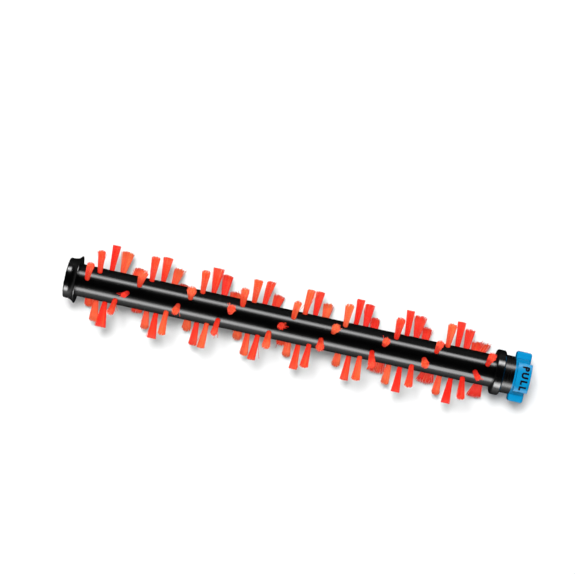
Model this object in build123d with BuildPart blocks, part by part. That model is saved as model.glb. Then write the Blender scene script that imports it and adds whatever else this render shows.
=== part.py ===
from build123d import *
from math import sqrt
import os

os.makedirs("parts", exist_ok=True)

# Brush roll of an upright carpet cleaner, lying along X. The origin is the centre of the drive socket's
# mouth, on the spin axis. +X runs toward the pull cap and +Z is the side that the cap's tab stands on.
# "_START" and "_END" are places along X, "_RADIUS" is measured from the spin axis, all in millimetres.

# Core tube
TUBE_START = 7.4
TUBE_END = 261.6
TUBE_RADIUS = 9.8
TUBE_BORE_RADIUS = 5.0

# Tufts: two spiral rows that share their stations along the tube
STATIONS = 40
FIRST_STATION = 13.05
STATION_PITCH = 6.242
TWIST_PER_STATION = 37.15
ROW_START_ANGLES = {"a": 12.5, "b": 203.0}
GROUPS_PER_ROW = 4
HOLE_RADIUS = 1.6
HOLE_FLOOR_RADIUS = 5.6
BRUSH_RADIUS = 25.0
TUFT_ROOT_RADIUS = 1.5
TUFT_TIP_RADIUS = 2.5
TUFT_FOLD_RADIUS = 5.7
ANCHOR_LENGTH = 2.9
ANCHOR_THICKNESS = 0.6
ANCHOR_HEIGHT = 1.2
ANCHOR_FOOT_RADIUS = 6.3

# Drive plug
RIM_RADIUS = 12.15
RIM_ROUND = 0.8
RIM_END = 2.8
LIP_START = 6.8
LIP_RADIUS = 14.35
LIP_EDGE = 0.3
FLARE_MIDDLE = (5.1, 12.9)
SOCKET_RADIUS = 7.0
SOCKET_DEPTH = 6.0
KEYWAY_COUNT = 4
KEYWAY_WIDTH = 2.2
KEYWAY_RADIUS = 8.4
DRIVE_SPIGOT_END = 20.0
DRIVE_CORE_RADIUS = 2.4
DRIVE_CORE_START = 7.6

# Sealing rings of both plugs
SEAL_GROOVE_WIDTH = 2.0
SEAL_GROOVE_RADIUS = 3.5
SEAL_RADIUS = 4.27
SEAL_SECTION_RADIUS = 0.7
DRIVE_SEAL_START = 11.0
AXLE_SEAL_START = 247.0
SPIGOT_CHAMFER = 0.5

# Axle plug, its collar and the stub axle
AXLE_SPIGOT_START = 244.0
COLLAR_RADIUS = 13.65
COLLAR_ROUND = 1.3
COLLAR_END = 267.0
COLLAR_SLOPE = 0.7
RECESS_START = 265.3
RECESS_RADIUS = 11.9
BOSS_RADIUS = 4.0
AXLE_START = 252.0
AXLE_END = 275.4
AXLE_RADIUS = 3.0
AXLE_CHAMFER = 0.3
AXLE_GAP = 0.3
CLIP_GROOVE_START = 273.2
CLIP_GROOVE_END = 273.8
CLIP_GROOVE_RADIUS = 2.3

# Ball bearing, 6 mm bore, 13 mm outside, 5 mm wide
BEARING_START = 267.9
BEARING_WIDTH = 5.0
BEARING_RADIUS = 6.5
OUTER_RING_BORE_RADIUS = 5.45
INNER_RING_RADIUS = 4.05
BALL_COUNT = 8
BALL_RADIUS = 1.0
BALL_PITCH_RADIUS = 4.75
RACEWAY_RADIUS = 1.03
CAGE_INNER_RADIUS = 4.35
CAGE_OUTER_RADIUS = 5.15
CAGE_WIDTH = 2.8
CAGE_POCKET_RADIUS = 1.06
CAGE_POCKET_LENGTH = 2.0
SHIELD_INNER_RADIUS = 4.15
SHIELD_THICKNESS = 0.2
SHIELD_INSET = 0.15

# Washer and retaining clip on the axle's end
WASHER_INNER_RADIUS = 3.05
WASHER_RADIUS = 4.0
CLIP_RADIUS = 4.0
CLIP_THICKNESS = 0.55
CLIP_OPENING = 3.6

# Bearing block, whose outside is the neck between the collar and the cap
NOSE_START = 265.7
NECK_RADIUS = 11.5
NECK_END = 273.2
REGISTER_RADIUS = 10.4
REGISTER_END = 275.6
FELT_RADIUS = 6.4
FELT_BORE_RADIUS = 4.1
FELT_START = 265.8
FELT_END = 266.9
BLOCK_HOLE_RADIUS = 4.6

# Pull cap
CAP_END = 281.6
CAP_HUB_RADIUS = 11.6
CAP_RIB_RADIUS = 6.4
CAP_RIB_BORE_RADIUS = 5.3
CAP_RIB_START = 272.95
CAP_HOLLOW_END = 277.0
EAR_REACH = 15.2
EAR_END = 282.3
EAR_THICKNESS = 7.2
EAR_CORNER = 1.5
EAR_ROUND = 0.9
TAB_WIDTH = 17.4
TAB_START = 274.0
TAB_RADIUS = 15.5
TAB_END = 282.5
TAB_FOOT = 2.6
TAB_ROUND = 0.35
HUB_ROUND = 0.6
KEY_WIDTH = 10.0
KEY_REACH = 13.4
DISH_RADIUS = 5.6
DISH_DEPTH = 1.2

# Two screws that hold the pull cap on the bearing block
SCREW_OFFSET = 8.9
SCREW_RADIUS = 0.8
SCREW_TIP = 271.5
SCREW_HEAD_RADIUS = 1.9
SCREW_HEAD_HEIGHT = 1.3
SCREW_SEAT = 280.0
SCREW_CLEARANCE_RADIUS = 1.1
COUNTERBORE_RADIUS = 2.1
PILOT_END = 271.0
CROSS_LENGTH = 2.0
CROSS_WIDTH = 0.5
CROSS_DEPTH = 0.7

# How far a cut runs out past the surface that it opens
CUT_MARGIN = 1.0

BOTTOM = (Align.CENTER, Align.CENTER, Align.MIN)
SCREW_PLACES = [(-SCREW_OFFSET, 0), (SCREW_OFFSET, 0)]


def tuft_place(station, row, radius):
    """Where a tuft's own axis stands at a given radius, with its Z pointing away from the spin axis."""
    x = FIRST_STATION + station * STATION_PITCH
    angle = ROW_START_ANGLES[row] + station * TWIST_PER_STATION
    return Location((x, 0, 0), (-angle, 0, 0)) * Location((0, 0, radius))


def row_places(row, radius, stations=range(STATIONS)):
    return [tuft_place(station, row, radius) for station in stations]


# ---------------------------------------------------------------- core tube, with a blind hole per tuft

with BuildPart() as core_tube:
    with BuildSketch(Plane.YZ.offset(TUBE_START)):
        Circle(TUBE_RADIUS)
        Circle(TUBE_BORE_RADIUS, mode=Mode.SUBTRACT)
    extrude(amount=TUBE_END - TUBE_START)
    with Locations(*row_places("a", HOLE_FLOOR_RADIUS), *row_places("b", HOLE_FLOOR_RADIUS)):
        Cylinder(HOLE_RADIUS, TUBE_RADIUS - HOLE_FLOOR_RADIUS + CUT_MARGIN, align=BOTTOM, mode=Mode.SUBTRACT)
core_tube.part.label = "core_tube"
export_step(core_tube.part, "parts/core_tube.step")


# ---------------------------------------------------------------- tufts and the anchors that hold them

# Filaments folded over a small plate at the bottom of each hole, and trimmed to the brush's radius.
tuft_top = sqrt(BRUSH_RADIUS**2 - TUFT_TIP_RADIUS**2)
group_size = STATIONS // GROUPS_PER_ROW

for row in ROW_START_ANGLES:
    for group in range(GROUPS_PER_ROW):
        stations = range(group * group_size, (group + 1) * group_size)
        with BuildPart() as bristles:
            with Locations(*row_places(row, TUFT_FOLD_RADIUS, stations)):
                Cylinder(TUFT_ROOT_RADIUS, TUBE_RADIUS - TUFT_FOLD_RADIUS, align=BOTTOM)
            with Locations(*row_places(row, TUBE_RADIUS, stations)):
                Cone(TUFT_ROOT_RADIUS, TUFT_TIP_RADIUS, tuft_top - TUBE_RADIUS, align=BOTTOM)
            with Locations(*row_places(row, ANCHOR_FOOT_RADIUS, stations)):
                Box(2 * HOLE_RADIUS, ANCHOR_THICKNESS, ANCHOR_HEIGHT, align=BOTTOM, mode=Mode.SUBTRACT)
        bristles.part.label = f"bristles_{row}_{group + 1}"
        export_step(bristles.part, f"parts/bristles_{row}_{group + 1}.step")

    with BuildPart() as tuft_anchors:
        with Locations(*row_places(row, ANCHOR_FOOT_RADIUS)):
            Box(ANCHOR_LENGTH, ANCHOR_THICKNESS, ANCHOR_HEIGHT, align=BOTTOM)
    tuft_anchors.part.label = f"tuft_anchors_{row}"
    export_step(tuft_anchors.part, f"parts/tuft_anchors_{row}.step")


# ---------------------------------------------------------------- drive plug and its sealing ring

# A spool-shaped head outside the tube and a spigot pressed into its bore. The socket takes the drive dog.
with BuildPart() as drive_plug:
    with BuildSketch(Plane.XY):
        with BuildLine():
            Polyline(
                (LIP_START, LIP_RADIUS),
                (LIP_START + LIP_EDGE, LIP_RADIUS),
                (TUBE_START, TUBE_RADIUS + LIP_EDGE),
                (TUBE_START, TUBE_BORE_RADIUS),
                (DRIVE_SPIGOT_END, TUBE_BORE_RADIUS),
                (DRIVE_SPIGOT_END, 0),
                (0, 0),
                (0, RIM_RADIUS),
                (RIM_END, RIM_RADIUS),
            )
            ThreePointArc((RIM_END, RIM_RADIUS), FLARE_MIDDLE, (LIP_START, LIP_RADIUS))
        make_face()
    revolve(axis=Axis.X)
    rims = drive_plug.edges().filter_by(GeomType.CIRCLE).group_by(Axis.X)
    fillet(rims[0], radius=RIM_ROUND)
    chamfer(rims[-1], length=SPIGOT_CHAMFER)
    with BuildSketch(Plane.YZ):
        Circle(SOCKET_RADIUS)
        for key in range(KEYWAY_COUNT):
            with Locations(Location((0, 0, 0), (0, 0, key * 360 / KEYWAY_COUNT))):
                Rectangle(KEYWAY_RADIUS, KEYWAY_WIDTH, align=(Align.MIN, Align.CENTER))
    extrude(amount=SOCKET_DEPTH, mode=Mode.SUBTRACT)
    with BuildSketch(Plane.YZ.offset(DRIVE_CORE_START)):
        Circle(DRIVE_CORE_RADIUS)
    extrude(amount=DRIVE_SPIGOT_END - DRIVE_CORE_START, mode=Mode.SUBTRACT)
    with BuildSketch(Plane.YZ.offset(DRIVE_SEAL_START)):
        Circle(TUBE_BORE_RADIUS + CUT_MARGIN)
        Circle(SEAL_GROOVE_RADIUS, mode=Mode.SUBTRACT)
    extrude(amount=SEAL_GROOVE_WIDTH, mode=Mode.SUBTRACT)
drive_plug.part.label = "drive_plug"
export_step(drive_plug.part, "parts/drive_plug.step")

for name, start in {"drive_plug_o_ring": DRIVE_SEAL_START, "axle_plug_o_ring": AXLE_SEAL_START}.items():
    with BuildPart() as o_ring:
        with Locations(Location((start + SEAL_GROOVE_WIDTH / 2, 0, 0), (0, 90, 0))):
            Torus(SEAL_RADIUS, SEAL_SECTION_RADIUS)
    o_ring.part.label = name
    export_step(o_ring.part, f"parts/{name}.step")


# ---------------------------------------------------------------- axle plug

# The collar hides a ring-shaped recess that the bearing block's nose runs in, so that hair stays out.
with BuildPart() as axle_plug:
    with BuildSketch(Plane.XY):
        with BuildLine():
            Polyline(
                (AXLE_SPIGOT_START, 0),
                (AXLE_SPIGOT_START, TUBE_BORE_RADIUS),
                (TUBE_END, TUBE_BORE_RADIUS),
                (TUBE_END, COLLAR_RADIUS),
                (COLLAR_END - COLLAR_SLOPE, COLLAR_RADIUS),
                (COLLAR_END, COLLAR_RADIUS - COLLAR_SLOPE),
                (COLLAR_END, RECESS_RADIUS),
                (RECESS_START, RECESS_RADIUS),
                (RECESS_START, BOSS_RADIUS),
                (BEARING_START, BOSS_RADIUS),
                (BEARING_START, AXLE_RADIUS),
                (AXLE_START, AXLE_RADIUS),
                (AXLE_START, 0),
                close=True,
            )
        make_face()
    revolve(axis=Axis.X)
    rims = axle_plug.edges().filter_by(GeomType.CIRCLE)
    collar_edge = rims.filter_by_position(Axis.X, TUBE_END, TUBE_END).sort_by(SortBy.RADIUS)[-1]
    fillet(collar_edge, radius=COLLAR_ROUND)
    chamfer(rims.group_by(Axis.X)[0], length=SPIGOT_CHAMFER)
    with BuildSketch(Plane.YZ.offset(AXLE_SEAL_START)):
        Circle(TUBE_BORE_RADIUS + CUT_MARGIN)
        Circle(SEAL_GROOVE_RADIUS, mode=Mode.SUBTRACT)
    extrude(amount=SEAL_GROOVE_WIDTH, mode=Mode.SUBTRACT)
axle_plug.part.label = "axle_plug"
export_step(axle_plug.part, "parts/axle_plug.step")


# ---------------------------------------------------------------- stub axle, washer and clip

with BuildPart() as stub_axle:
    with BuildSketch(Plane.YZ.offset(AXLE_START + AXLE_GAP)):
        Circle(AXLE_RADIUS)
    extrude(amount=AXLE_END - AXLE_START - AXLE_GAP)
    chamfer(stub_axle.edges().filter_by(GeomType.CIRCLE), length=AXLE_CHAMFER)
    with BuildSketch(Plane.YZ.offset(CLIP_GROOVE_START)):
        Circle(AXLE_RADIUS + CUT_MARGIN)
        Circle(CLIP_GROOVE_RADIUS, mode=Mode.SUBTRACT)
    extrude(amount=CLIP_GROOVE_END - CLIP_GROOVE_START, mode=Mode.SUBTRACT)
stub_axle.part.label = "stub_axle"
export_step(stub_axle.part, "parts/stub_axle.step")

with BuildPart() as axle_washer:
    with BuildSketch(Plane.YZ.offset(BEARING_START + BEARING_WIDTH)):
        Circle(WASHER_RADIUS)
        Circle(WASHER_INNER_RADIUS, mode=Mode.SUBTRACT)
    extrude(amount=CLIP_GROOVE_START - BEARING_START - BEARING_WIDTH)
axle_washer.part.label = "axle_washer"
export_step(axle_washer.part, "parts/axle_washer.step")

with BuildPart() as axle_clip:
    with BuildSketch(Plane.YZ.offset(CLIP_GROOVE_START)):
        Circle(CLIP_RADIUS)
        Circle(CLIP_GROOVE_RADIUS, mode=Mode.SUBTRACT)
        Rectangle(CLIP_OPENING, 2 * CLIP_RADIUS, align=(Align.CENTER, Align.MIN), mode=Mode.SUBTRACT)
    extrude(amount=CLIP_THICKNESS)
axle_clip.part.label = "axle_clip"
export_step(axle_clip.part, "parts/axle_clip.step")


# ---------------------------------------------------------------- ball bearing

bearing_end = BEARING_START + BEARING_WIDTH
bearing_middle = BEARING_START + BEARING_WIDTH / 2
raceway_half_width = sqrt(RACEWAY_RADIUS**2 - (OUTER_RING_BORE_RADIUS - BALL_PITCH_RADIUS) ** 2)

with BuildPart() as bearing_inner_ring:
    with BuildSketch(Plane.XY):
        with BuildLine():
            Polyline(
                (bearing_middle + raceway_half_width, INNER_RING_RADIUS),
                (bearing_end, INNER_RING_RADIUS),
                (bearing_end, AXLE_RADIUS),
                (BEARING_START, AXLE_RADIUS),
                (BEARING_START, INNER_RING_RADIUS),
                (bearing_middle - raceway_half_width, INNER_RING_RADIUS),
            )
            ThreePointArc(
                (bearing_middle - raceway_half_width, INNER_RING_RADIUS),
                (bearing_middle, BALL_PITCH_RADIUS - RACEWAY_RADIUS),
                (bearing_middle + raceway_half_width, INNER_RING_RADIUS),
            )
        make_face()
    revolve(axis=Axis.X)
bearing_inner_ring.part.label = "bearing_inner_ring"
export_step(bearing_inner_ring.part, "parts/bearing_inner_ring.step")

with BuildPart() as bearing_outer_ring:
    with BuildSketch(Plane.XY):
        with BuildLine():
            Polyline(
                (bearing_middle + raceway_half_width, OUTER_RING_BORE_RADIUS),
                (bearing_end, OUTER_RING_BORE_RADIUS),
                (bearing_end, BEARING_RADIUS),
                (BEARING_START, BEARING_RADIUS),
                (BEARING_START, OUTER_RING_BORE_RADIUS),
                (bearing_middle - raceway_half_width, OUTER_RING_BORE_RADIUS),
            )
            ThreePointArc(
                (bearing_middle - raceway_half_width, OUTER_RING_BORE_RADIUS),
                (bearing_middle, BALL_PITCH_RADIUS + RACEWAY_RADIUS),
                (bearing_middle + raceway_half_width, OUTER_RING_BORE_RADIUS),
            )
        make_face()
    revolve(axis=Axis.X)
bearing_outer_ring.part.label = "bearing_outer_ring"
export_step(bearing_outer_ring.part, "parts/bearing_outer_ring.step")

ball_places = [
    Location((bearing_middle, 0, 0), (ball * 360 / BALL_COUNT, 0, 0)) * Location((0, 0, BALL_PITCH_RADIUS))
    for ball in range(BALL_COUNT)
]

with BuildPart() as bearing_balls:
    with Locations(*ball_places):
        Sphere(BALL_RADIUS)
bearing_balls.part.label = "bearing_balls"
export_step(bearing_balls.part, "parts/bearing_balls.step")

with BuildPart() as ball_cage:
    with BuildSketch(Plane.YZ.offset(bearing_middle - CAGE_WIDTH / 2)):
        Circle(CAGE_OUTER_RADIUS)
        Circle(CAGE_INNER_RADIUS, mode=Mode.SUBTRACT)
    extrude(amount=CAGE_WIDTH)
    with Locations(*ball_places):
        Cylinder(CAGE_POCKET_RADIUS, CAGE_POCKET_LENGTH, mode=Mode.SUBTRACT)
ball_cage.part.label = "ball_cage"
export_step(ball_cage.part, "parts/ball_cage.step")

with BuildPart() as bearing_shields:
    for start in (BEARING_START + SHIELD_INSET, bearing_end - SHIELD_INSET - SHIELD_THICKNESS):
        with BuildSketch(Plane.YZ.offset(start)):
            Circle(OUTER_RING_BORE_RADIUS)
            Circle(SHIELD_INNER_RADIUS, mode=Mode.SUBTRACT)
        extrude(amount=SHIELD_THICKNESS)
bearing_shields.part.label = "bearing_shields"
export_step(bearing_shields.part, "parts/bearing_shields.step")


# ---------------------------------------------------------------- bearing block and felt seal

with BuildPart() as bearing_block:
    with BuildSketch(Plane.XY):
        with BuildLine():
            Polyline(
                (NOSE_START, FELT_RADIUS),
                (NOSE_START, NECK_RADIUS),
                (NECK_END, NECK_RADIUS),
                (NECK_END, REGISTER_RADIUS),
                (REGISTER_END, REGISTER_RADIUS),
                (REGISTER_END, BEARING_RADIUS),
                (BEARING_START, BEARING_RADIUS),
                (BEARING_START, BLOCK_HOLE_RADIUS),
                (FELT_END, BLOCK_HOLE_RADIUS),
                (FELT_END, FELT_RADIUS),
                close=True,
            )
        make_face()
    revolve(axis=Axis.X)
    with BuildSketch(Plane.YZ.offset(PILOT_END)):
        with Locations(*SCREW_PLACES):
            Circle(SCREW_RADIUS)
    extrude(amount=REGISTER_END - PILOT_END, mode=Mode.SUBTRACT)
bearing_block.part.label = "bearing_block"
export_step(bearing_block.part, "parts/bearing_block.step")

with BuildPart() as felt_seal:
    with BuildSketch(Plane.YZ.offset(FELT_START)):
        Circle(FELT_RADIUS)
        Circle(FELT_BORE_RADIUS, mode=Mode.SUBTRACT)
    extrude(amount=FELT_END - FELT_START)
felt_seal.part.label = "felt_seal"
export_step(felt_seal.part, "parts/felt_seal.step")


# ---------------------------------------------------------------- pull cap

# The raised tab that carries the wording, curved about the spin axis.
with BuildPart() as cap_tab:
    with BuildSketch(Plane.YZ.offset(TAB_START)):
        Circle(TAB_RADIUS)
        with Locations((0, TAB_FOOT)):
            Rectangle(TAB_WIDTH, TAB_RADIUS, align=(Align.CENTER, Align.MIN), mode=Mode.INTERSECT)
    extrude(amount=TAB_END - TAB_START)
    fillet(cap_tab.edges().group_by(Axis.X)[-1] + cap_tab.edges().filter_by(Axis.X), radius=TAB_ROUND)

# Two ears to grip, made as one bar through the hub.
with BuildPart() as cap_ears:
    with BuildSketch(Plane.XY.offset(-EAR_THICKNESS / 2)):
        with Locations(((NECK_END + EAR_END) / 2, 0)):
            RectangleRounded(EAR_END - NECK_END, 2 * EAR_REACH, EAR_CORNER)
    extrude(amount=EAR_THICKNESS)
    fillet(cap_ears.faces().filter_by(Axis.Z).edges(), radius=EAR_ROUND)

# A round hub carries both, with a key on the far side. Its rib keeps the bearing in the block.
with BuildPart() as pull_cap:
    with BuildSketch(Plane.XY) as hub:
        with Locations((NECK_END, 0)):
            Rectangle(CAP_END - NECK_END, CAP_HUB_RADIUS, align=(Align.MIN, Align.MIN))
        fillet(hub.vertices().group_by(Axis.Y)[-1].sort_by(Axis.X)[-1], radius=HUB_ROUND)
    revolve(axis=Axis.X)
    with BuildSketch(Plane.YZ.offset(NECK_END)):
        Rectangle(KEY_WIDTH, KEY_REACH, align=(Align.CENTER, Align.MAX))
    extrude(amount=CAP_END - HUB_ROUND - NECK_END)
    add(cap_ears.part)
    add(cap_tab.part)
    with BuildSketch(Plane.YZ.offset(CAP_END - DISH_DEPTH)):
        Circle(DISH_RADIUS)
    extrude(amount=DISH_DEPTH + CUT_MARGIN, mode=Mode.SUBTRACT)
    with BuildSketch(Plane.YZ.offset(CAP_RIB_START)):
        Circle(REGISTER_RADIUS)
        Circle(CAP_RIB_RADIUS, mode=Mode.SUBTRACT)
    extrude(amount=REGISTER_END - CAP_RIB_START, mode=Mode.SUBTRACT)
    with BuildSketch(Plane.YZ.offset(CAP_RIB_START)):
        Circle(CAP_RIB_RADIUS)
        Circle(CAP_RIB_BORE_RADIUS, mode=Mode.SUBTRACT)
    extrude(amount=REGISTER_END - CAP_RIB_START)
    with BuildSketch(Plane.YZ.offset(CAP_RIB_START)):
        Circle(CAP_RIB_BORE_RADIUS)
    extrude(amount=CAP_HOLLOW_END - CAP_RIB_START, mode=Mode.SUBTRACT)
    with BuildSketch(Plane.YZ.offset(REGISTER_END)):
        with Locations(*SCREW_PLACES):
            Circle(SCREW_CLEARANCE_RADIUS)
    extrude(amount=TAB_END - REGISTER_END, mode=Mode.SUBTRACT)
    with BuildSketch(Plane.YZ.offset(SCREW_SEAT)):
        with Locations(*SCREW_PLACES):
            Circle(COUNTERBORE_RADIUS)
    extrude(amount=TAB_END - SCREW_SEAT, mode=Mode.SUBTRACT)
pull_cap.part.label = "pull_cap"
export_step(pull_cap.part, "parts/pull_cap.step")

with BuildPart() as cap_screws:
    with BuildSketch(Plane.YZ.offset(SCREW_TIP)):
        with Locations(*SCREW_PLACES):
            Circle(SCREW_RADIUS)
    extrude(amount=SCREW_SEAT - SCREW_TIP)
    with BuildSketch(Plane.YZ.offset(SCREW_SEAT)):
        with Locations(*SCREW_PLACES):
            Circle(SCREW_HEAD_RADIUS)
    extrude(amount=SCREW_HEAD_HEIGHT)
    with BuildSketch(Plane.YZ.offset(SCREW_SEAT + SCREW_HEAD_HEIGHT - CROSS_DEPTH)):
        with Locations(*SCREW_PLACES):
            Rectangle(CROSS_LENGTH, CROSS_WIDTH)
            Rectangle(CROSS_WIDTH, CROSS_LENGTH)
    extrude(amount=CROSS_DEPTH, mode=Mode.SUBTRACT)
cap_screws.part.label = "cap_screws"
export_step(cap_screws.part, "parts/cap_screws.step")
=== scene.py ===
import math
import random

import bmesh
import bpy
from mathutils import Matrix, Vector


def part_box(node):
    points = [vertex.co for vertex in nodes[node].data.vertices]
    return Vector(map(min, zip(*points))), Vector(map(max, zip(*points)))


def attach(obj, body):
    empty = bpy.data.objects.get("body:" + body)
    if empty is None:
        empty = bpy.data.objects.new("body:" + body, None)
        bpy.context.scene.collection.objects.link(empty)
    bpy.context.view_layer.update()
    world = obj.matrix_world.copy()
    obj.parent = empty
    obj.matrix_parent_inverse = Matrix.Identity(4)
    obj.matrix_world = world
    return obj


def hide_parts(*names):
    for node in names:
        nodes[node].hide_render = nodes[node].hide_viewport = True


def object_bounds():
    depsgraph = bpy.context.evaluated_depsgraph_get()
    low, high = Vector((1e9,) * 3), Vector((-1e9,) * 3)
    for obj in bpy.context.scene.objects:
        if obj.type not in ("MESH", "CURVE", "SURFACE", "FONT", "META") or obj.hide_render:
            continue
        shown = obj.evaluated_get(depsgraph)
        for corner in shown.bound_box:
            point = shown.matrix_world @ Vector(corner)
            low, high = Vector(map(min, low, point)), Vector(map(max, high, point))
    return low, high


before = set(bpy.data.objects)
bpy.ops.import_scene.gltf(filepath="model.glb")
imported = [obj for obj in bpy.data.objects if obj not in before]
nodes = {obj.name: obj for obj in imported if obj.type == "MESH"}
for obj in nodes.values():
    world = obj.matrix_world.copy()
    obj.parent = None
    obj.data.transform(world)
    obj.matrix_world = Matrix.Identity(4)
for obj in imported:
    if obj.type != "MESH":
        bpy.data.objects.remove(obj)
cad_low, cad_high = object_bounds()
scene = bpy.context.scene
MM = 0.001


# ------------------------------------------------------------------ camera and bench
# The roll lies on a white bench and is looked at from straight above, a little behind its middle. The
# camera is turned so that the cap end runs down to the right. Far from the roll the bench glows, so that
# it stays white to the horizon, and it is left out of reflections.

CAMERA_HEIGHT = 1030 * MM
CAMERA_ALONG = -10.8 * MM
CAMERA_BEHIND = 22.4 * MM
CAMERA_TURN = math.radians(12.45)
BENCH_REACH = 30.0
BENCH_GAP = 0.1 * MM
GLOW_STARTS = 0.25
GLOW_FULL = 1.0

middle = (cad_low + cad_high) / 2

camera_data = bpy.data.cameras.new("bench_camera")
camera_data.sensor_width = 36.0
camera_data.lens = 107.5
camera = bpy.data.objects.new("bench_camera", camera_data)
camera.location = (middle.x + CAMERA_ALONG, middle.y + CAMERA_BEHIND, CAMERA_HEIGHT)
camera.rotation_euler = (0, 0, CAMERA_TURN)
scene.collection.objects.link(camera)
scene.camera = camera
scene.view_settings.view_transform = "Standard"

bench_mesh = bpy.data.meshes.new("bench")
bench_shape = bmesh.new()
bmesh.ops.create_grid(bench_shape, x_segments=1, y_segments=1, size=BENCH_REACH)
bmesh.ops.translate(bench_shape, verts=bench_shape.verts, vec=(middle.x, middle.y, cad_low.z - BENCH_GAP))
bench_shape.to_mesh(bench_mesh)
bench_shape.free()
bench = bpy.data.objects.new("bench", bench_mesh)
scene.collection.objects.link(bench)
bench_paint = bpy.data.materials.new("white_bench")
bench_paint.use_nodes = True
bench_paint.cycles.emission_sampling = "NONE"
bench_tree = bench_paint.node_tree
bench_shader = bench_tree.nodes["Principled BSDF"]
bench_shader.inputs["Base Color"].default_value = (0.9, 0.9, 0.9, 1)
bench_shader.inputs["Roughness"].default_value = 0.9
bench_shader.inputs["Specular IOR Level"].default_value = 0.0
bench_place = bench_tree.nodes.new("ShaderNodeTexCoord")
bench_distance = bench_tree.nodes.new("ShaderNodeVectorMath")
bench_distance.operation = "DISTANCE"
bench_distance.inputs[1].default_value = (middle.x, middle.y, cad_low.z)
bench_glow = bench_tree.nodes.new("ShaderNodeMapRange")
bench_glow.inputs["From Min"].default_value = GLOW_STARTS
bench_glow.inputs["From Max"].default_value = GLOW_FULL
bench_tree.links.new(bench_place.outputs["Object"], bench_distance.inputs[0])
bench_tree.links.new(bench_distance.outputs["Value"], bench_glow.inputs["Value"])
bench_tree.links.new(bench_glow.outputs["Result"], bench_shader.inputs["Emission Strength"])
bench_shader.inputs["Emission Color"].default_value = (1, 1, 1, 1)
bench_mesh.materials.append(bench_paint)
bench.visible_glossy = False


# ------------------------------------------------------------------ studio light
# Two long softboxes lie along the roll, behind it and in front of it. They show in reflections only, where
# they give the black plastic its two bright lines. A soft key from behind on the left drops short shadows
# forward, and a canopy fills them. Neither of these shows in reflections.

SOFTBOX_LENGTH = 1.1

def soft_light(name, tilt, turn, distance, width, length, radiance):
    """An area light over the roll: tilt is from straight up toward +Y, turn is about the vertical."""
    toward = Matrix.Rotation(math.radians(turn), 3, "Z") @ Vector(
        (0, math.sin(math.radians(tilt)), math.cos(math.radians(tilt))))
    data = bpy.data.lights.new(name, "AREA")
    data.shape = "RECTANGLE"
    data.size = length
    data.size_y = width
    data.energy = radiance * math.pi * width * length
    light = bpy.data.objects.new(name, data)
    light.matrix_world = (
        Matrix.Translation(middle + toward * distance)
        @ Matrix.Rotation(math.radians(turn), 4, "Z")
        @ Matrix.Rotation(-math.radians(tilt), 4, "X"))
    scene.collection.objects.link(light)
    return light


for name, tilt, distance, width, radiance in (
        ("back_softbox", 52, 1.0, 0.46, 4.4), ("back_softbox_core", 52, 0.96, 0.20, 6.4),
        ("front_softbox", -67, 1.0, 0.58, 4.6), ("front_softbox_core", -67, 0.96, 0.26, 5.4)):
    soft_light(name, tilt, 0, distance, width, SOFTBOX_LENGTH, radiance).visible_diffuse = False
for name, tilt, turn, distance, size, radiance in (
        ("key_light", 13, 28, 1.6, 0.42, 45.0), ("canopy", 0, 0, 2.0, 4.0, 0.75)):
    soft_light(name, tilt, turn, distance, size, size, radiance).visible_glossy = False

# Reflections of the room are brightest near the bench and in front of the roll, and nearly black overhead.
# The camera sees a plain pale backdrop in its place.
world = bpy.data.worlds.new("studio")
scene.world = world
world.use_nodes = True
world.cycles.sampling_method = "NONE"
world.cycles_visibility.diffuse = False
sky = world.node_tree
sky_direction = sky.nodes.new("ShaderNodeTexCoord")
sky_parts = sky.nodes.new("ShaderNodeSeparateXYZ")
sky_scale = sky.nodes.new("ShaderNodeMapRange")
sky_scale.inputs["From Min"].default_value = -1.0
sky_fall = sky.nodes.new("ShaderNodeValToRGB")
sky_fall.color_ramp.elements[0].color = (0.03, 0.03, 0.03, 1)
sky_fall.color_ramp.elements[1].color = (0.003, 0.003, 0.003, 1)
for place, grey in ((0.15, 0.06), (0.265, 0.13), (0.36, 0.24), (0.455, 0.45), (0.55, 0.3), (0.7, 0.015)):
    stop = sky_fall.color_ramp.elements.new(place)
    stop.color = (grey, grey, grey, 1)
sky_front = sky.nodes.new("ShaderNodeMapRange")
for socket, value in (("From Min", -0.9), ("From Max", -0.2), ("To Min", 2.2), ("To Max", 0.35)):
    sky_front.inputs[socket].default_value = value
seen = sky.nodes.new("ShaderNodeLightPath")
sky_strength = sky.nodes.new("ShaderNodeMix")
backdrop = sky.nodes.new("ShaderNodeMix")
backdrop.data_type = "RGBA"
# A Mix node's sockets go by number: 0 is the factor, 2 and 3 are the values, 6 and 7 the colours.
sky_strength.inputs[3].default_value = 1.0
backdrop.inputs[7].default_value = (0.95, 0.95, 0.95, 1)
sky.links.new(sky_direction.outputs["Generated"], sky_parts.inputs[0])
sky.links.new(sky_parts.outputs["Z"], sky_scale.inputs["Value"])
sky.links.new(sky_parts.outputs["Y"], sky_front.inputs["Value"])
sky.links.new(sky_scale.outputs["Result"], sky_fall.inputs["Fac"])
for mix in (sky_strength, backdrop):
    sky.links.new(seen.outputs["Is Camera Ray"], mix.inputs[0])
sky.links.new(sky_front.outputs["Result"], sky_strength.inputs[2])
sky.links.new(sky_fall.outputs["Color"], backdrop.inputs[6])
sky.links.new(backdrop.outputs[2], sky.nodes["Background"].inputs["Color"])
sky.links.new(sky_strength.outputs[0], sky.nodes["Background"].inputs["Strength"])


# ------------------------------------------------------------------ core tube
# An extruded tube of black plastic, drilled with a blind hole for each tuft. Its skin is satin, with
# faint draw lines that run along it.

GRAIN_LOW = 0.3
GRAIN_HIGH = 0.7
TINT_LOW = 0.25
TINT_HIGH = 0.75


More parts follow.
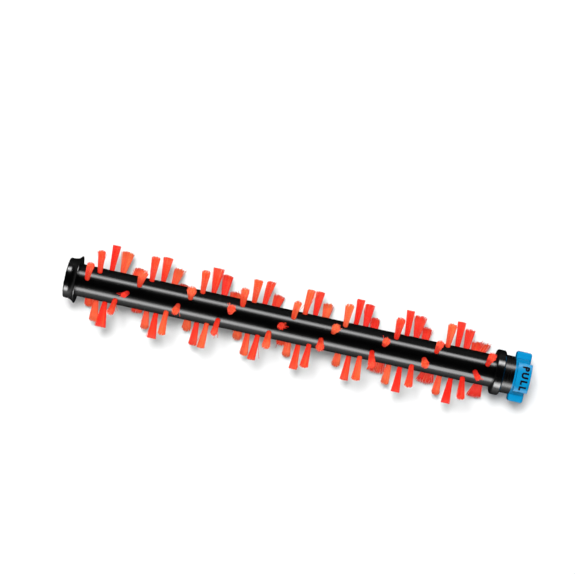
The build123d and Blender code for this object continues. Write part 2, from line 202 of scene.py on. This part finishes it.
def new_finish(name, colour, roughness, metallic=0.0):
    """A material with its constant values set, its tree to add pattern to, and its shader."""
    material = bpy.data.materials.new(name)
    material.use_nodes = True
    shader = material.node_tree.nodes["Principled BSDF"]
    shader.inputs["Base Color"].default_value = (*colour, 1)
    shader.inputs["Roughness"].default_value = roughness
    shader.inputs["Metallic"].default_value = metallic
    return material, material.node_tree, shader


def grain(tree, cycles, detail=3.0):
    """Noise with its own number of cycles a metre along X, Y and Z."""
    place = tree.nodes.new("ShaderNodeTexCoord")
    stretch = tree.nodes.new("ShaderNodeMapping")
    stretch.inputs["Scale"].default_value = cycles
    noise = tree.nodes.new("ShaderNodeTexNoise")
    noise.inputs["Scale"].default_value = 1.0
    noise.inputs["Detail"].default_value = detail
    tree.links.new(place.outputs["Object"], stretch.inputs["Vector"])
    tree.links.new(stretch.outputs["Vector"], noise.inputs["Vector"])
    return noise.outputs["Fac"]


def vary(tree, pattern, socket, low, high):
    """The pattern drives a socket between two values."""
    spread = tree.nodes.new("ShaderNodeMapRange")
    spread.inputs["From Min"].default_value = GRAIN_LOW
    spread.inputs["From Max"].default_value = GRAIN_HIGH
    spread.inputs["To Min"].default_value = low
    spread.inputs["To Max"].default_value = high
    tree.links.new(pattern, spread.inputs["Value"])
    tree.links.new(spread.outputs["Result"], socket)


def tint(tree, pattern, shader, colours):
    """The pattern picks the base colour from a few colours, evenly spaced."""
    ramp = tree.nodes.new("ShaderNodeValToRGB")
    ramp.color_ramp.elements[0].color = (*colours[0], 1)
    ramp.color_ramp.elements[0].position = TINT_LOW
    ramp.color_ramp.elements[1].color = (*colours[-1], 1)
    ramp.color_ramp.elements[1].position = TINT_HIGH
    gap = (TINT_HIGH - TINT_LOW) / (len(colours) - 1)
    for step, colour in enumerate(colours[1:-1], 1):
        stop = ramp.color_ramp.elements.new(TINT_LOW + gap * step)
        stop.color = (*colour, 1)
    tree.links.new(pattern, ramp.inputs["Fac"])
    tree.links.new(ramp.outputs["Color"], shader.inputs["Base Color"])


def emboss(tree, pattern, shader, depth):
    """The pattern raises the surface by a depth in metres."""
    bump = tree.nodes.new("ShaderNodeBump")
    bump.inputs["Distance"].default_value = depth
    tree.links.new(pattern, bump.inputs["Height"])
    tree.links.new(bump.outputs["Normal"], shader.inputs["Normal"])


def finish_node(name, material):
    """Gives a CAD piece its finish."""
    nodes[name].material_slots[0].material = material


tube_finish, tree, shader = new_finish("satin_black_tube", (0.0004, 0.0004, 0.00045), 0.2)
draw_lines = grain(tree, (12, 1400, 1400), 4.0)
vary(tree, draw_lines, shader.inputs["Roughness"], 0.17, 0.23)
emboss(tree, draw_lines, shader, 0.004 * MM)
finish_node("core_tube", tube_finish)


# ------------------------------------------------------------------ tuft anchors
# Flat steel wire cut into short plates. One is driven into each hole across the fold of the filaments.

anchor_finish, tree, shader = new_finish("anchor_wire", (0.6, 0.6, 0.58), 0.34, 1.0)
drawn = grain(tree, (300, 6000, 6000))
vary(tree, drawn, shader.inputs["Roughness"], 0.28, 0.45)
emboss(tree, drawn, shader, 0.01 * MM)
for row in "ab":
    finish_node(f"tuft_anchors_{row}", anchor_finish)


# ------------------------------------------------------------------ tufts
# Each tuft is a bundle of orange-red nylon filaments, folded over its anchor and trimmed to the brush's
# radius. The bundle fills its hole, fans out above the tube, and a few filaments stray from it.
# TWIST, ROW_START and STRAY_SPREAD are in degrees. The bends, fans, frays, drifts and strays are in
# millimetres.

ANCHOR_LENGTH = 2.9 * MM
STATIONS = 40
TUFTS_PER_GROUP = 10
TWIST = 37.15
ROW_START = {"a": 12.5, "b": 203.0}
DOUBLINGS = 7
FILAMENTS = 2**DOUBLINGS
FILAMENT_RADIUS = 0.125 * MM
FILAMENT_SIDES = 5
BUNDLE_RADIUS = 1.36 * MM
ANCHOR_CLEARANCE = 0.42 * MM
FOOT_HEIGHT = 5.9 * MM
ANCHOR_TOP = 7.6 * MM
GOLDEN_ANGLE = math.radians(137.508)
BEND_CUTS = (0.45, 0.72)
BEND_POWER = 1.3
FRESH_LEAN = 0.15
FRESH_SWING = 0.3
FRESH_FAN = (0.9, 1.3)
OWN_FAN = (0.92, 1.08)
BENT_SWING = 2.5
BENT_EXTRA = 1.1
BENT_FAN = 0.4
MOST_FAN = 1.5
EVEN_FRAY = (0.08, 0.12, 0.2)
RAGGED_FRAY = 0.6
DRIFT = 0.16
STRAY_EVERY = 9
STRAY_FIRST = 4
STRAY_SPREAD = 28
STRAY_REACH = (1.6, 4.6)
STRAY_SHORT = (0.2, 2.0)
MIDDLE_TONE = 0.53
TUFT_TONE_SPREAD = 0.03
FILAMENT_TONE_SPREAD = 0.09
# Painted light and shade: how much oranger the tufts listed as lit, and how much redder those listed as
# shaded, are painted.
PAINTED_LIGHT_BY = 0.15
PAINTED_SHADE_BY = 0.14
FILL_DISTANCE = 2.0
FILL_SIZE = 4.0

# How tufts have set in use, at their tips and in millimetres: the lean along the roll, the swing round it
# in the sense of the twist, and the extra half-width of the fan.
SET = {
    ("a", 0): (2.0, 4.5, 0.9), ("a", 3): (0.0, -2.2, 2.4), ("a", 4): (1.8, -4.9, 1.8),
    ("a", 5): (-1.2, 3.0, 2.3), ("a", 6): (0.0, -1.0, 1.2), ("a", 7): (0.6, 0.0, 1.3),
    ("a", 8): (0.4, -2.0, 0.8), ("a", 10): (0.6, -1.5, 1.6), ("a", 11): (0.0, -1.6, 1.2),
    ("a", 12): (0.0, 0.0, 2.0), ("a", 13): (-0.5, -5.1, 1.9), ("a", 14): (0.0, -8.0, 2.4),
    ("a", 15): (0.0, 1.7, 1.5), ("a", 17): (-0.9, 0.0, 1.0), ("a", 18): (0.0, 2.0, 1.1),
    ("a", 20): (0.8, 0.0, 0.9), ("a", 21): (0.9, 0.0, 0.9), ("a", 22): (0.4, -1.0, 1.3),
    ("a", 23): (0.6, -4.0, 1.8), ("a", 27): (0.0, 1.0, 1.2), ("a", 28): (0.6, 0.0, 0.9),
    ("a", 31): (-0.7, 0.0, 1.1), ("a", 32): (0.6, -2.4, 2.5), ("a", 33): (0.3, -7.2, 1.7),
    ("a", 34): (-0.9, 9.2, 4.2), ("a", 35): (0.4, 1.8, 1.0), ("a", 37): (0.2, 1.3, 1.1),
    ("a", 38): (0.5, 1.6, 0.4), ("b", 0): (1.0, 3.8, 1.4), ("b", 1): (0.4, 1.0, 1.2),
    ("b", 2): (0.7, 0.0, 2.0), ("b", 3): (0.0, 3.3, 0.5), ("b", 4): (-0.4, 1.0, 0.1),
    ("b", 5): (2.0, 0.0, 1.5), ("b", 7): (0.0, 0.0, 1.5), ("b", 8): (0.9, -3.2, 1.7),
    ("b", 9): (-1.0, -7.5, 2.4), ("b", 10): (0.0, 1.5, 1.4), ("b", 12): (-0.5, 0.0, 0.8),
    ("b", 13): (-0.4, 0.7, 0.4), ("b", 14): (0.9, 2.2, 1.1), ("b", 15): (0.0, -1.0, 1.2),
    ("b", 16): (0.0, -4.0, 1.5), ("b", 17): (1.4, -1.5, 1.3), ("b", 18): (1.4, -4.0, 2.3),
    ("b", 19): (2.2, 7.5, 1.5), ("b", 22): (-0.4, 1.0, 1.2), ("b", 23): (0.0, 1.5, 1.1),
    ("b", 24): (0.7, -0.8, 1.3), ("b", 27): (0.2, -4.0, 1.4), ("b", 28): (-0.7, -7.5, 1.5),
    ("b", 29): (0.0, 7.4, 4.5), ("b", 34): (0.0, -1.5, 0.9), ("b", 35): (-0.5, -1.8, 1.4),
    ("b", 37): (0.7, -5.6, 1.7), ("b", 38): (3.9, -12.5, 4.8), ("b", 39): (-1.2, 4.6, 3.2),
}

# The stations whose tufts are painted oranger as if lit and redder as if in shade, the tufts with worn
# tips, and those with filaments that stray one way: the angle from the roll's own line, in degrees, and
# how many.
PAINTED_LIT_STATIONS = {
    "a": (3, 6, 8, 10, 11, 15, 16, 18, 20, 21, 23, 25, 27, 35),
    "b": (1, 5, 8, 10, 12, 15, 16, 20, 24, 25, 30, 35),
}
PAINTED_SHADED_STATIONS = {
    "a": (2, 13, 19, 22, 31, 32, 33, 34, 36, 37, 38, 39),
    "b": (2, 4, 26, 27, 28, 31, 36, 37, 38, 39),
}
RAGGED = {
    ("a", 19), ("a", 23), ("a", 32), ("a", 33), ("b", 8), ("b", 14), ("b", 18), ("b", 37), ("b", 38),
}
STRAYS = {
    ("a", 9): (-60, 3), ("a", 19): (15, 6), ("b", 4): (185, 5), ("b", 8): (10, 8), ("b", 14): (150, 6),
}

anchors_low, anchors_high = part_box("tuft_anchors_a")
first_station = anchors_low.x + ANCHOR_LENGTH / 2
station_pitch = (anchors_high.x - anchors_low.x - ANCHOR_LENGTH) / (STATIONS - 1)
tube_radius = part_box("core_tube")[1].z
trim_radius = cad_high.z
mouth_share = (tube_radius - FOOT_HEIGHT) / (trim_radius - FOOT_HEIGHT)

bristle_finish, tree, shader = new_finish("bristle_nylon", (0.95, 0.05, 0.03), 0.4)
shader.inputs["Specular IOR Level"].default_value = 0.15
tone = tree.nodes.new("ShaderNodeAttribute")
tone.attribute_name = "tone"
tint(tree, tone.outputs["Fac"], shader, [
    (0.52, 0.009, 0.004), (0.53, 0.024, 0.009), (0.54, 0.053, 0.015), (0.56, 0.095, 0.028)])
along = grain(tree, (2500, 2500, 2500), 2.0)
vary(tree, along, shader.inputs["Roughness"], 0.35, 0.5)


def filament_bundles(brush, bundles):
    """Straight filaments from 0 to 1 along Z, all in one place. Gives how many corners each has."""
    bmesh.ops.create_cone(
        brush, cap_ends=True, segments=FILAMENT_SIDES, radius1=FILAMENT_RADIUS, radius2=FILAMENT_RADIUS,
        depth=1.0, matrix=Matrix.Translation((0, 0, 0.5)))
    for cut in (mouth_share, *BEND_CUTS):
        bmesh.ops.bisect_plane(
            brush, geom=brush.verts[:] + brush.edges[:] + brush.faces[:],
            plane_co=(0, 0, cut), plane_no=(0, 0, 1))
    for face in brush.faces:
        face.smooth = len(face.verts) == 4
    corners = len(brush.verts)
    for doubling in range(DOUBLINGS):
        bmesh.ops.duplicate(brush, geom=brush.verts[:] + brush.edges[:] + brush.faces[:])
    bundle = brush.verts[:] + brush.edges[:] + brush.faces[:]
    for copy in range(bundles - 1):
        bmesh.ops.duplicate(brush, geom=bundle)
    return corners


def bend_tuft(filaments, tone_layer, dice, place, tuft):
    """Spreads a bundle over its hole, and bends and tints each filament in its own way. The tint carries
    painted light and shade.
    """
    fresh = (dice.gauss(0, FRESH_LEAN), dice.gauss(0, FRESH_SWING), dice.uniform(*FRESH_FAN))
    lean, swing, fan = SET.get(tuft, fresh)
    fray = RAGGED_FRAY if tuft in RAGGED else dice.choice(EVEN_FRAY)
    bent = abs(swing) > BENT_SWING
    if bent:
        swing += math.copysign(BENT_EXTRA, swing)
    stray_way, stray_count = STRAYS.get(tuft, (dice.uniform(0, 360), dice.choice((1, 2, 3))))
    row, station = tuft
    tuft_tone = MIDDLE_TONE + dice.gauss(0, TUFT_TONE_SPREAD)
    # Painted light and shade: tufts listed as lit are painted oranger, and those listed as shaded are
    # painted redder.
    tuft_tone += PAINTED_LIGHT_BY * (station in PAINTED_LIT_STATIONS[row]) - PAINTED_SHADE_BY * (station in PAINTED_SHADED_STATIONS[row])
    for index, corners in enumerate(filaments):
        share = math.sqrt((index + 0.5) / FILAMENTS)
        turn = index * GOLDEN_ANGLE
        across = share * math.cos(turn)
        aside = share * math.sin(turn)
        own_fan = fan * dice.uniform(*OWN_FAN)
        drift = (dice.gauss(0, DRIFT), dice.gauss(0, DRIFT))
        shortfall = abs(dice.gauss(0, 1)) * fray
        if index % STRAY_EVERY == STRAY_FIRST and stray_count > 0:
            stray_count -= 1
            way = math.radians(stray_way + dice.uniform(-STRAY_SPREAD, STRAY_SPREAD))
            reach = dice.uniform(*STRAY_REACH)
            drift = (reach * math.cos(way), reach * math.sin(way))
            shortfall = dice.uniform(*STRAY_SHORT)
        tip = trim_radius - shortfall * MM
        # Streaks across the bundle, and painted shade: the bundle's outer filaments are painted darker.
        streak_and_edge_shade = 0.07 * math.sin(3 * turn + 5 * share) - 0.1 * share**4
        shade = tuft_tone + dice.gauss(0, FILAMENT_TONE_SPREAD) + streak_and_edge_shade
        split = math.copysign(ANCHOR_CLEARANCE, aside) + aside * (BUNDLE_RADIUS - ANCHOR_CLEARANCE)
        for corner in corners:
            rise = FOOT_HEIGHT + corner.co.z * (tip - FOOT_HEIGHT)
            opened = max(0.0, (rise - tube_radius) / (trim_radius - tube_radius))
            x = across * (BUNDLE_RADIUS + own_fan * MM * opened)
            y = aside * (BUNDLE_RADIUS + (BENT_FAN if bent else min(own_fan, MOST_FAN)) * MM * opened)
            if rise < ANCHOR_TOP:
                y = split
            bend = MM * opened**BEND_POWER
            x += corner.co.x + (lean + drift[0]) * bend
            swung = -((swing + drift[1]) * bend + y + corner.co.y) / max(rise, tube_radius)
            # Painted shade: each filament is painted darker near the tube, most at its root and down in
            # its hole.
            corner[tone_layer] = shade - 0.14 * (1 - opened) ** 2
            corner.co = place @ Vector((x, -rise * math.sin(swung), rise * math.cos(swung)))


# Soft lights without shadows, which reach the tufts alone, even out the bundles from every side.
filled = bpy.data.collections.new("lit_by_tuft_fill")
for name, tilt, radiance in (
        ("top_tuft_fill", 0, 0.7), ("back_tuft_fill", 68, 2.5), ("front_tuft_fill", -68, 2.7)):
    tuft_fill = soft_light(name, tilt, 0, FILL_DISTANCE, FILL_SIZE, FILL_SIZE, radiance)
    tuft_fill.visible_glossy = False
    tuft_fill.data.use_shadow = False
    tuft_fill.light_linking.receiver_collection = filled

dice = random.Random(7)
for row in "ab":
    for group in range(STATIONS // TUFTS_PER_GROUP):
        brush = bmesh.new()
        tone_layer = brush.verts.layers.float.new("tone")
        corners = filament_bundles(brush, TUFTS_PER_GROUP)
        brush.verts.ensure_lookup_table()
        for number in range(TUFTS_PER_GROUP):
            station = group * TUFTS_PER_GROUP + number
            angle = ROW_START[row] + TWIST * station
            place = (Matrix.Translation((first_station + station * station_pitch, 0, 0))
                     @ Matrix.Rotation(-math.radians(angle), 4, "X"))
            first = number * FILAMENTS
            filaments = [brush.verts[corners * index:corners * (index + 1)]
                         for index in range(first, first + FILAMENTS)]
            bend_tuft(filaments, tone_layer, dice, place, (row, station))
        brush.normal_update()
        mesh = bpy.data.meshes.new(f"filaments_{row}_{group + 1}")
        brush.to_mesh(mesh)
        brush.free()
        mesh.materials.append(bristle_finish)
        tufts = bpy.data.objects.new(f"filaments_{row}_{group + 1}", mesh)
        scene.collection.objects.link(tufts)
        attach(tufts, "roller")
        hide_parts(f"bristles_{row}_{group + 1}")
        tufts.visible_glossy = False
        tufts.visible_diffuse = False
        filled.objects.link(tufts)


# ------------------------------------------------------------------ plugs, collar and bearing block
# The drive plug, the axle plug with its collar, and the bearing block are moulded in glossy black plastic
# and skimmed on a lathe, which leaves fine rings round them.

moulding_finish, tree, shader = new_finish("turned_black_moulding", (0.0005, 0.0005, 0.00055), 0.16)
shader.inputs["Specular IOR Level"].default_value = 0.8
rings = grain(tree, (5200, 60, 60), 5.0)
vary(tree, rings, shader.inputs["Roughness"], 0.12, 0.22)
emboss(tree, rings, shader, 0.012 * MM)
for name in ("drive_plug", "axle_plug"):
    finish_node(name, moulding_finish)

block_finish, tree, shader = new_finish("matt_black_moulding", (0.0006, 0.0006, 0.00065), 0.24)
rings = grain(tree, (4200, 160, 160), 5.0)
vary(tree, rings, shader.inputs["Roughness"], 0.2, 0.3)
emboss(tree, rings, shader, 0.012 * MM)
finish_node("bearing_block", block_finish)


# ------------------------------------------------------------------ sealing rings and felt
# Nitrile O-rings seal the plugs in the tube. A felt ring in the bearing block's nose keeps grit out.

rubber_finish, tree, shader = new_finish("seal_rubber", (0.02, 0.02, 0.02), 0.62)
specks = grain(tree, (5000, 5000, 5000))
vary(tree, specks, shader.inputs["Roughness"], 0.5, 0.75)
emboss(tree, specks, shader, 0.02 * MM)
for name in ("drive_plug_o_ring", "axle_plug_o_ring"):
    finish_node(name, rubber_finish)

felt_finish, tree, shader = new_finish("grey_felt", (0.3, 0.29, 0.27), 0.95)
shader.inputs["Sheen Weight"].default_value = 0.4
fibres = grain(tree, (2400, 3800, 3800), 6.0)
tint(tree, fibres, shader, [(0.17, 0.165, 0.15), (0.3, 0.29, 0.27), (0.46, 0.45, 0.42)])
emboss(tree, fibres, shader, 0.15 * MM)
finish_node("felt_seal", felt_finish)


# ------------------------------------------------------------------ stub axle, washer and clip
# A turned stainless axle pressed into the axle plug, with a washer and an open spring clip that hold the
# bearing on it.

axle_finish, tree, shader = new_finish("turned_axle", (0.55, 0.55, 0.56), 0.28, 1.0)
turning = grain(tree, (9000, 120, 120), 4.0)
vary(tree, turning, shader.inputs["Roughness"], 0.2, 0.38)
emboss(tree, turning, shader, 0.008 * MM)
for name in ("stub_axle", "axle_washer"):
    finish_node(name, axle_finish)

clip_finish, tree, shader = new_finish("phosphated_clip", (0.2, 0.2, 0.21), 0.42, 1.0)
blotches = grain(tree, (1500, 1500, 1500))
tint(tree, blotches, shader, [(0.12, 0.12, 0.13), (0.24, 0.24, 0.25)])
vary(tree, blotches, shader.inputs["Roughness"], 0.35, 0.55)
finish_node("axle_clip", clip_finish)


# ------------------------------------------------------------------ ball bearing
# A shielded bearing: two ground rings, eight balls in a nylon cage, and a thin pressed shield each side.

bearing_finish, tree, shader = new_finish("ground_bearing_steel", (0.62, 0.62, 0.63), 0.16, 1.0)
ground = grain(tree, (7000, 200, 200), 4.0)
vary(tree, ground, shader.inputs["Roughness"], 0.1, 0.24)
emboss(tree, ground, shader, 0.004 * MM)
for name in ("bearing_inner_ring", "bearing_outer_ring", "bearing_balls", "bearing_shields"):
    finish_node(name, bearing_finish)

cage_finish, tree, shader = new_finish("cage_nylon", (0.72, 0.68, 0.55), 0.5)
cloud = grain(tree, (900, 900, 900))
tint(tree, cloud, shader, [(0.66, 0.61, 0.47), (0.76, 0.72, 0.6)])
emboss(tree, grain(tree, (6000, 6000, 6000)), shader, 0.01 * MM)
finish_node("ball_cage", cage_finish)


# ------------------------------------------------------------------ pull cap
# A bright blue moulding with two ears to grip and a raised tab. Its skin is finely spark-eroded.

cap_finish, tree, shader = new_finish("blue_moulding", (0.0, 0.24, 0.5), 0.2)
shader.inputs["Specular IOR Level"].default_value = 0.16
sparked = grain(tree, (4200, 4200, 4200), 4.0)
vary(tree, sparked, shader.inputs["Roughness"], 0.16, 0.25)
emboss(tree, sparked, shader, 0.003 * MM)
flow = grain(tree, (90, 90, 90), 2.0)
tint(tree, flow, shader, [(0.0, 0.225, 0.48), (0.0, 0.255, 0.53)])
finish_node("pull_cap", cap_finish)


# ------------------------------------------------------------------ wording on the tab
# The plain instruction to pull, pad-printed in dark ink. It reads across the roll and follows the tab's
# curve.

LETTER_SIZE = 5.25 * MM
LETTER_WEIGHT = 0.33 * MM
INK_THICKNESS = 0.04 * MM
LETTER_SPACING = 1.42
INK_SINK = 0.01 * MM
WORD_START = 7.3 * MM
LETTER_FOOT = 277.1 * MM
BEND_STEPS = 24

tab_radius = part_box("pull_cap")[1].z

word_curve = bpy.data.curves.new("pull_wording", "FONT")
word_curve.body = "PULL"
word_curve.size = LETTER_SIZE
word_curve.offset = LETTER_WEIGHT
word_curve.space_character = LETTER_SPACING
word_object = bpy.data.objects.new("pull_wording_outline", word_curve)
scene.collection.objects.link(word_object)
bpy.context.view_layer.update()
drawn_word = word_object.evaluated_get(bpy.context.evaluated_depsgraph_get())
word_mesh = bpy.data.meshes.new_from_object(drawn_word)
bpy.data.objects.remove(word_object)

ink = bmesh.new()
ink.from_mesh(word_mesh)
word_length = max(corner.co.x for corner in ink.verts)
for step in range(1, BEND_STEPS):
    bmesh.ops.bisect_plane(
        ink, geom=ink.verts[:] + ink.edges[:] + ink.faces[:],
        plane_co=(word_length * step / BEND_STEPS, 0, 0), plane_no=(1, 0, 0))
bmesh.ops.recalc_face_normals(ink, faces=ink.faces)
if ink.faces[0].normal.z < 0:
    bmesh.ops.reverse_faces(ink, faces=ink.faces)
skin = bmesh.ops.extrude_face_region(ink, geom=ink.faces[:])
bmesh.ops.translate(
    ink, verts=[part for part in skin["geom"] if isinstance(part, bmesh.types.BMVert)],
    vec=(0, 0, INK_THICKNESS))
for corner in ink.verts:
    swing = (WORD_START - corner.co.x) / tab_radius
    radius = tab_radius + corner.co.z - INK_SINK
    corner.co = Vector((LETTER_FOOT + corner.co.y, radius * math.sin(swing), radius * math.cos(swing)))
bmesh.ops.recalc_face_normals(ink, faces=ink.faces)
ink_mesh = bpy.data.meshes.new("pull_wording")
ink.to_mesh(ink_mesh)
ink.free()
wording = bpy.data.objects.new("pull_wording", ink_mesh)
scene.collection.objects.link(wording)
ink_finish, tree, shader = new_finish("print_ink", (0.0006, 0.0008, 0.004), 0.6)
shader.inputs["Specular IOR Level"].default_value = 0.1
coverage = grain(tree, (3000, 3000, 3000))
vary(tree, coverage, shader.inputs["Roughness"], 0.5, 0.7)
ink_mesh.materials.append(ink_finish)
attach(wording, "end_cap")


# ------------------------------------------------------------------ cap screws
# Two zinc-plated cross-head screws, sunk in counterbores, hold the cap on the bearing block.

screw_finish, tree, shader = new_finish("zinc_plated_screws", (0.66, 0.66, 0.66), 0.32, 1.0)
plating = grain(tree, (2200, 2200, 2200))
tint(tree, plating, shader, [(0.55, 0.56, 0.57), (0.74, 0.74, 0.72)])
vary(tree, plating, shader.inputs["Roughness"], 0.26, 0.42)
finish_node("cap_screws", screw_finish)
